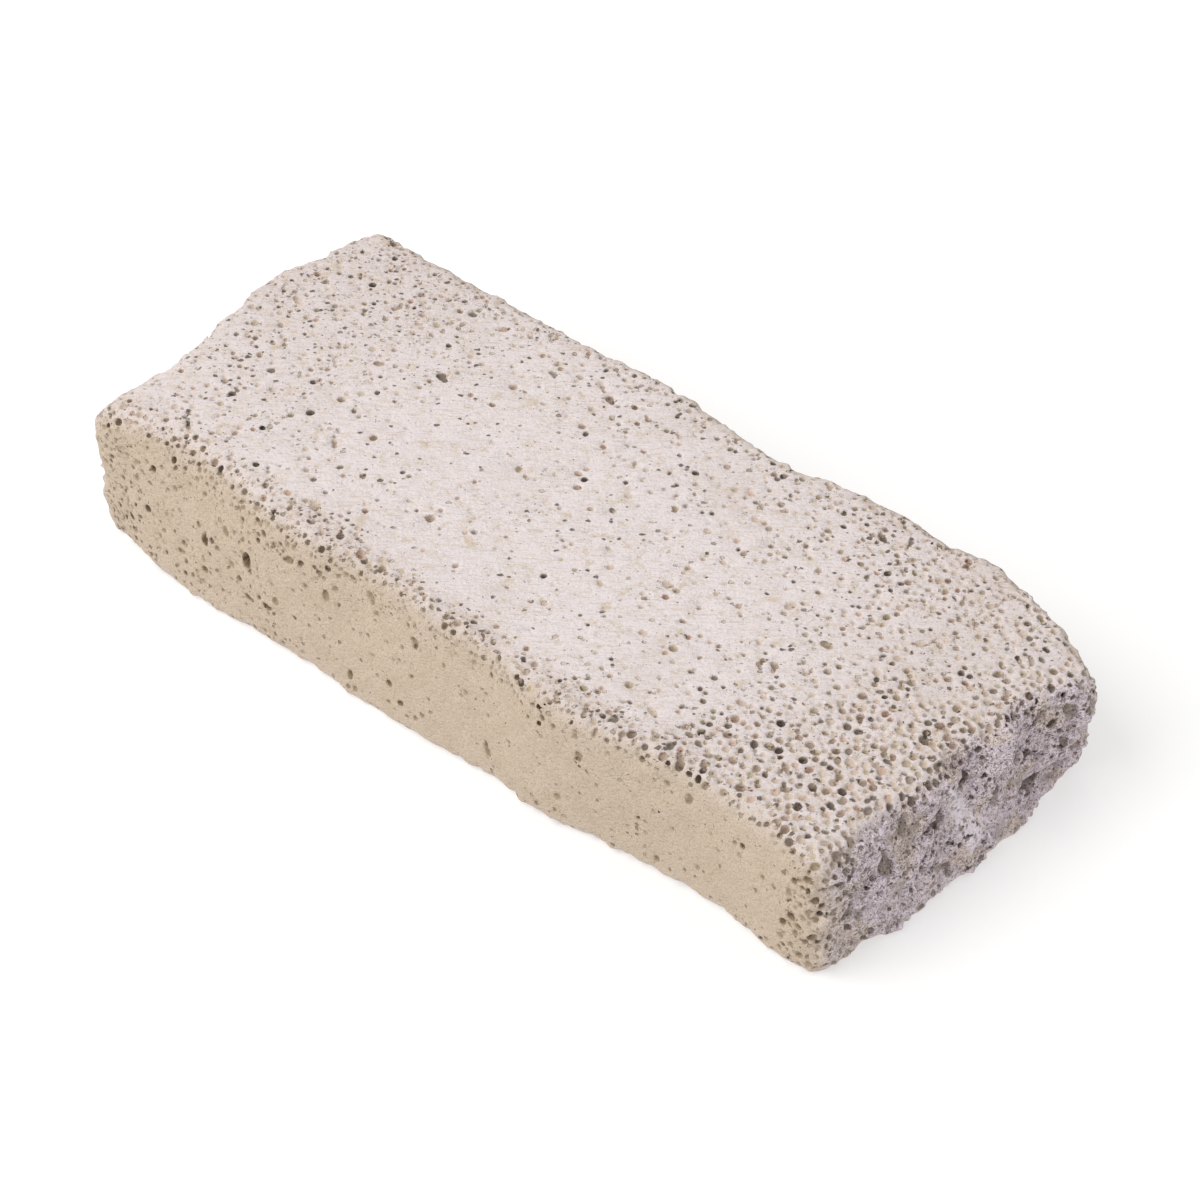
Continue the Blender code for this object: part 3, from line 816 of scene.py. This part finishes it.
class Shading:
    """The nodes of the rock's material, with the noises and pores that its colour and relief share."""

    def __init__(self, tree):
        self.tree = tree
        self.place = self.node("ShaderNodeTexCoord").outputs["Object"]
        self.uneven = self.vectors("MULTIPLY_ADD", self.wobble(), (PORE_WOBBLE,) * 3,
                                   self.along_grain(PORE_STRETCH))
        self.foam_place = self.vectors("MULTIPLY", self.uneven, FOAM_SQUASH)
        self.fine = self.noise(FINE)
        self.foam = self.noise(FOAM, self.foam_place)
        self.fibres = self.noise(FIBRES, self.along_grain(FIBRE_STRETCH))
        self.patchy = self.ramp(self.noise(GRAINY_PATCHES), (0.40, 0.1), (0.62, 1.0))
        crowd = self.mark("crowd")
        self.pore, self.pore_level = self.spots(PORES, self.uneven, self.sum(crowd, 0.32, 0.13))
        speck_share = self.sum(crowd, 0.30, self.times(self.patchy, 0.22))
        self.speck, self.speck_level = self.spots(SPECKS, self.uneven, speck_share)
        self.vent, _ = self.spots(VENTS, self.foam_place, self.times(self.mark("broken"), 0.45))

    def node(self, kind, inputs=None, **settings):
        """Adds a node, sets its settings and its inputs: a socket is linked, anything else is a value."""
        made = self.tree.nodes.new(kind)
        for name, value in settings.items():
            setattr(made, name, value)
        for name, value in (inputs or {}).items():
            if isinstance(value, bpy.types.NodeSocket):
                self.tree.links.new(value, made.inputs[name])
            else:
                made.inputs[name].default_value = value
        return made

    def mark(self, name):
        """What mark_points has noted on the mesh under a name."""
        return self.node("ShaderNodeAttribute", attribute_name=name).outputs["Fac"]

    def maths(self, kind, *values, clamp=False):
        """Result of one sum."""
        made = self.node("ShaderNodeMath", dict(enumerate(values)), operation=kind, use_clamp=clamp)
        return made.outputs[0]

    def times(self, a, b, clamp=False):
        """Product of two values."""
        return self.maths("MULTIPLY", a, b, clamp=clamp)

    def sum(self, a, factor, c, clamp=False):
        """A value times a factor, plus another."""
        return self.maths("MULTIPLY_ADD", a, factor, c, clamp=clamp)

    def vectors(self, kind, *values):
        """Result of one sum of places."""
        return self.node("ShaderNodeVectorMath", dict(enumerate(values)), operation=kind).outputs[0]

    def mixed(self, share, a, b):
        """Colour between a and b."""
        return self.node("ShaderNodeMix", {0: share, 6: a, 7: b}, data_type="RGBA").outputs[2]

    def ramp(self, value, start, end):
        """Value through a ramp between two (place, level) stops."""
        made = self.node("ShaderNodeValToRGB", {0: value})
        for element, (place, level) in zip(made.color_ramp.elements, (start, end)):
            element.position = place
            element.color = (level, level, level, 1.0)
        return made.outputs[0]

    def noise(self, grain, place=None):
        """Smooth noise of one of the grains listed above."""
        return self.noise_node(grain, self.place if place is None else place).outputs["Fac"]

    def noise_node(self, grain, place):
        """Node of smooth noise."""
        scale, detail, rough = grain
        return self.node("ShaderNodeTexNoise", {"Vector": place, "Scale": scale, "Detail": detail,
                                                "Roughness": rough})

    def wobble(self):
        """Noise in all three directions, about 0."""
        level = self.noise_node(WOBBLE, self.place).outputs["Color"]
        return self.vectors("SUBTRACT", level, (0.5, 0.5, 0.5))

    def along_grain(self, stretch):
        """Places turned so that X runs along the grain, and drawn out that way."""
        turn = (0, 0, math.radians(GRAIN_TURN))
        return self.node("ShaderNodeMapping", {"Vector": self.place, "Rotation": turn,
                                               "Scale": (stretch, 1, 1)}, vector_type="TEXTURE").outputs[0]

    def spots(self, pores, place, share):
        """Round pores cut at all depths: how deep in one each place lies, and a random level for it."""
        scale, size = pores
        cells = self.node("ShaderNodeTexVoronoi", {"Vector": place, "Scale": scale})
        levels = self.node("ShaderNodeSeparateColor", {"Color": cells.outputs["Color"]}).outputs
        chosen = self.maths("LESS_THAN", levels[0], share)
        radius = self.sum(levels[1], 0.6 * size, 0.4 * size)
        inside = self.maths("SUBTRACT", radius, cells.outputs["Distance"])
        inside = self.times(inside, 6.0, clamp=True)
        return self.times(inside, chosen), levels[2]


def sawn_colour(rock):
    """Pinkish white, warmer where pits crowd it, with tan patches."""
    uneven = rock.ramp(rock.noise(BROAD), (0.45, 0.0), (0.75, 0.25))
    warm = rock.sum(rock.mark("crowd"), 0.24, uneven, clamp=True)
    colour = rock.mixed(warm, SAWN_COLOUR, SAWN_WARM)
    tan = rock.times(rock.ramp(rock.noise(TAN_PATCHES), (0.56, 0.0), (0.70, 1.0)),
                     rock.sum(rock.patchy, 0.7, 0.1), clamp=True)
    return rock.mixed(tan, colour, SAWN_TAN)


def dusty_colour(rock):
    """Dusty tan."""
    return rock.mixed(rock.ramp(rock.noise(MEDIUM), (0.35, 0.0), (0.75, 0.6)), DUSTY_COLOUR, DUSTY_DARK)


def broken_colour(rock):
    """Lavender grey with warmer patches and a pale smear, with painted shade in its recesses and in the
    hollows of the foam.
    """
    warm = rock.ramp(rock.noise(WARM_PATCHES), (0.50, 0.0), (0.62, 0.85))
    colour = rock.mixed(warm, BROKEN_COLOUR, BROKEN_WARM)
    colour = rock.mixed(rock.times(rock.mark("smear"), 0.8), colour, SMEAR_COLOUR)
    bare = rock.sum(rock.mark("smear"), -0.85, 1.0)
    # Painted shade in the recesses, less on the smear.
    recess_shade = rock.times(rock.ramp(rock.mark("recess_shade"), (0.60, 0.0), (0.92, 0.58)), bare)
    colour = rock.mixed(recess_shade, colour, BROKEN_SHADE)
    # Painted shade in the hollows of the foam, less on the smear.
    foam = rock.times(rock.ramp(rock.foam, (0.37, 1.0), (0.465, 0.0)), bare)
    return rock.mixed(foam, colour, BROKEN_SHADE)


def skin_colour(rock):
    """Colour of the rock between its pits."""
    dusty = rock.mark("dusty")
    colour = rock.mixed(dusty, sawn_colour(rock), dusty_colour(rock))
    colour = rock.mixed(rock.mark("broken"), colour, broken_colour(rock))
    streaks = rock.times(rock.ramp(rock.fibres, (0.33, 1.0), (0.50, 0.0)), 0.46)
    colour = rock.mixed(streaks, colour, CUP_COLOUR)
    grainy = rock.maths("MAXIMUM", rock.patchy, dusty)
    grain = rock.times(rock.ramp(rock.fine, (0.33, 0.50), (0.5, 0.0)), grainy)
    colour = rock.mixed(grain, colour, CUP_COLOUR)
    sandy = rock.times(rock.ramp(rock.noise(SANDY), (0.36, 0.45), (0.5, 0.0)), dusty)
    return rock.mixed(sandy, colour, CUP_DUSTY)


def cup_colour(rock):
    """Colour inside the pits: tan, rust or olive by pit, some nearly black with painted shade, browner on
    the long sides and darker with painted shade on the ends.
    """
    colour = rock.mixed(rock.ramp(rock.mark("tint"), (0.82, 0.0), (0.90, 1.0)), CUP_COLOUR, CUP_RUST)
    colour = rock.mixed(rock.ramp(rock.mark("tint"), (0.20, 1.0), (0.28, 0.0)), colour, CUP_OLIVE)
    colour = rock.mixed(rock.mark("dusty"), colour, CUP_DUSTY)
    colour = rock.mixed(rock.ramp(rock.mark("shade"), (0.71, 0.0), (0.92, 0.9)), colour, DEEP_SHADE)
    # Painted shade darkens the pits of the ends.
    return rock.mixed(rock.ramp(rock.mark("broken"), (0.2, 0.0), (0.9, 0.4)), colour, BROKEN_SHADE)


def with_pores(rock, colour):
    """A colour with the fine pores, specks and vents drawn on it: painted shade in them, some pores tan
    inside.
    """
    inside = rock.mixed(rock.ramp(rock.pore_level, (0.35, 0.0), (0.65, 1.0)), CUP_COLOUR, DEEP_SHADE)
    inside = rock.mixed(rock.times(rock.mark("dusty"), 0.7), inside, CUP_DUSTY)
    colour = rock.mixed(rock.times(rock.pore, 0.85), colour, inside)
    speck = rock.times(rock.speck, rock.sum(rock.speck_level, 0.7, 0.15))
    colour = rock.mixed(speck, colour, DEEP_SHADE)
    return rock.mixed(rock.times(rock.vent, 0.55), colour, DEEP_SHADE)


def surface_height(rock):
    """The finest relief: fibres and grain everywhere, foam on the broken end, and the pores."""
    height = rock.sum(rock.fibres, 1.3, rock.times(rock.fine, 0.9))
    rough = rock.maths("SUBTRACT", rock.mark("broken"), rock.times(rock.mark("smear"), 0.7), clamp=True)
    height = rock.sum(rock.times(rock.foam, rough), 2.4, height)
    height = rock.sum(rock.vent, -1.0, height)
    return rock.sum(rock.pore, -1.0, height)


def stone_material():
    """Dull rock: pinkish white where sawn, dusty tan on the long sides, lavender grey where broken."""
    material = bpy.data.materials.new("pumice_rock")
    material.use_nodes = True
    rock = Shading(material.node_tree)
    in_cup = rock.times(rock.ramp(rock.mark("depth"), (0.04, 0.0), (0.22, 0.85)),
                        rock.sum(rock.mark("broken"), -0.4, 1.0))
    colour = with_pores(rock, rock.mixed(in_cup, skin_colour(rock), cup_colour(rock)))
    bumps = rock.node("ShaderNodeBump", {"Height": surface_height(rock), "Strength": 1.0,
                                         "Distance": RELIEF_DEPTH})
    shader = rock.tree.nodes["Principled BSDF"]
    shader.inputs["Roughness"].default_value = 0.95
    shader.inputs["Specular IOR Level"].default_value = 0.2
    rock.tree.links.new(colour, shader.inputs["Base Color"])
    rock.tree.links.new(bumps.outputs[0], shader.inputs["Normal"])
    return material


# ---- stage --------------------------------------------------------------------------------------
CAMERA_AZIMUTH = 41.37    # degrees round from looking along +Y
CAMERA_ELEVATION = 41.85
CAMERA_DISTANCE = 395.2   # mm
CAMERA_TARGET = (3.34, -1.82, 7.8)
CAMERA_LENS = 110.0       # mm
CAMERA_SENSOR = 36.0      # mm
FLOOR_HALF = 3.0          # metres
LIGHT_PLACE = (-0.30, -0.50, 0.62)
LIGHT_TARGET = (0, 0, 0.008)
LIGHT_SIZE = 0.7
LIGHT_POWER = 4.7
LIGHT_COLOUR = (1.0, 0.985, 0.96)
WHITE = (1.0, 1.0, 1.0, 1.0)


def make_camera():
    """Camera that looks down on the near side and the broken end."""
    azimuth, elevation = math.radians(CAMERA_AZIMUTH), math.radians(CAMERA_ELEVATION)
    back = Vector((math.sin(azimuth) * math.cos(elevation), -math.cos(azimuth) * math.cos(elevation),
                   math.sin(elevation)))
    right = Vector((math.cos(azimuth), math.sin(azimuth), 0))
    up = back.cross(right)
    data = bpy.data.cameras.new("camera")
    data.lens = CAMERA_LENS
    data.sensor_width = CAMERA_SENSOR
    data.clip_start = 0.01
    camera = bpy.data.objects.new("camera", data)
    stand = (Vector(CAMERA_TARGET) + back * CAMERA_DISTANCE) * MM
    camera.matrix_world = Matrix.Translation(stand) @ Matrix((right, up, back)).transposed().to_4x4()
    bpy.context.scene.collection.objects.link(camera)
    bpy.context.scene.camera = camera


def make_light():
    """Soft square light, high on the near side, that looks at the stone."""
    data = bpy.data.lights.new("key", "AREA")
    data.size = LIGHT_SIZE
    data.energy = LIGHT_POWER
    data.color = LIGHT_COLOUR
    light = bpy.data.objects.new("key", data)
    light.location = LIGHT_PLACE
    ahead = Vector(LIGHT_TARGET) - Vector(LIGHT_PLACE)
    light.rotation_euler = ahead.to_track_quat("-Z", "Y").to_euler()
    bpy.context.scene.collection.objects.link(light)


def make_stage():
    """Pale floor and plain white sky."""
    mesh = bpy.data.meshes.new("floor")
    corners = [(-1, -1, 0), (1, -1, 0), (1, 1, 0), (-1, 1, 0)]
    mesh.from_pydata([FLOOR_HALF * Vector(corner) for corner in corners], [], [(0, 1, 2, 3)])
    floor = bpy.data.objects.new("floor", mesh)
    bpy.context.scene.collection.objects.link(floor)
    material = bpy.data.materials.new("floor")
    material.use_nodes = True
    shader = material.node_tree.nodes["Principled BSDF"]
    shader.inputs["Base Color"].default_value = (0.62, 0.62, 0.62, 1.0)
    shader.inputs["Emission Color"].default_value = WHITE
    shader.inputs["Emission Strength"].default_value = 0.40
    shader.inputs["Roughness"].default_value = 0.9
    mesh.materials.append(material)
    world = bpy.data.worlds.new("studio")
    world.use_nodes = True
    sky = world.node_tree.nodes["Background"]
    sky.inputs["Color"].default_value = WHITE
    sky.inputs["Strength"].default_value = 0.73
    bpy.context.scene.world = world


stone = make_stone()
stone.data.materials.clear()
stone.data.materials.append(stone_material())
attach(stone, "root")
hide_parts(NODE)
make_stage()
make_light()
make_camera()
bpy.context.scene.view_settings.view_transform = "Standard"
